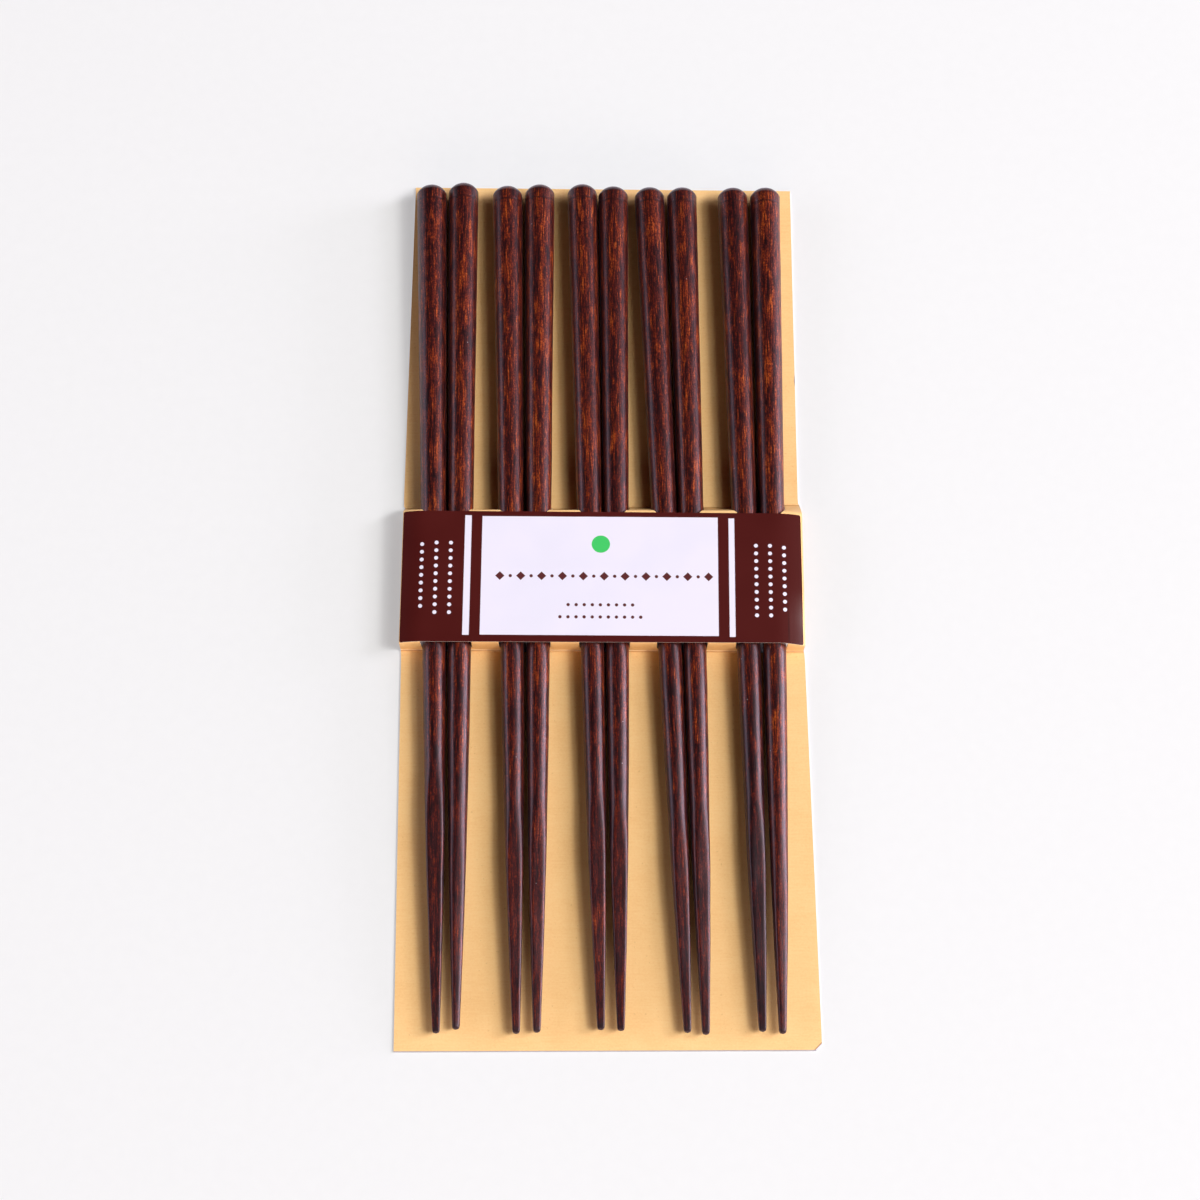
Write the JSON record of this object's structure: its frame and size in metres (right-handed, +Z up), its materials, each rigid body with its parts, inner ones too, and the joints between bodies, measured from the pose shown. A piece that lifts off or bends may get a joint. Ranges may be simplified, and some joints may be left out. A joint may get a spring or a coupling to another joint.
{
  "type": "carded set of wooden chopsticks",
  "caption": "Pairs of round, tapered, stained wooden chopsticks held side by side under the raised bridge of a folded kraft card, which carries a glued paper label.",
  "frame": {"origin": "bottom centre of the whole set, on the surface that the card lies on", "axes": "+X across the card, +Y along the sticks towards their domed heads, +Z up from the table"},
  "size_m": [0.1022, 0.2316, 0.0083],
  "materials": {
    "card": "matte",
    "label_paper": "gloss",
    "stained_wood": "satin"
  },
  "bodies": {
    "root": {"backing_card": "card", "label": "label_paper", "chopstick_01": "stained_wood", "chopstick_02": "stained_wood", "chopstick_03": "stained_wood", "chopstick_04": "stained_wood", "chopstick_05": "stained_wood", "chopstick_06": "stained_wood", "chopstick_07": "stained_wood", "chopstick_08": "stained_wood", "chopstick_09": "stained_wood", "chopstick_10": "stained_wood"}
  },
  "joints": []
}
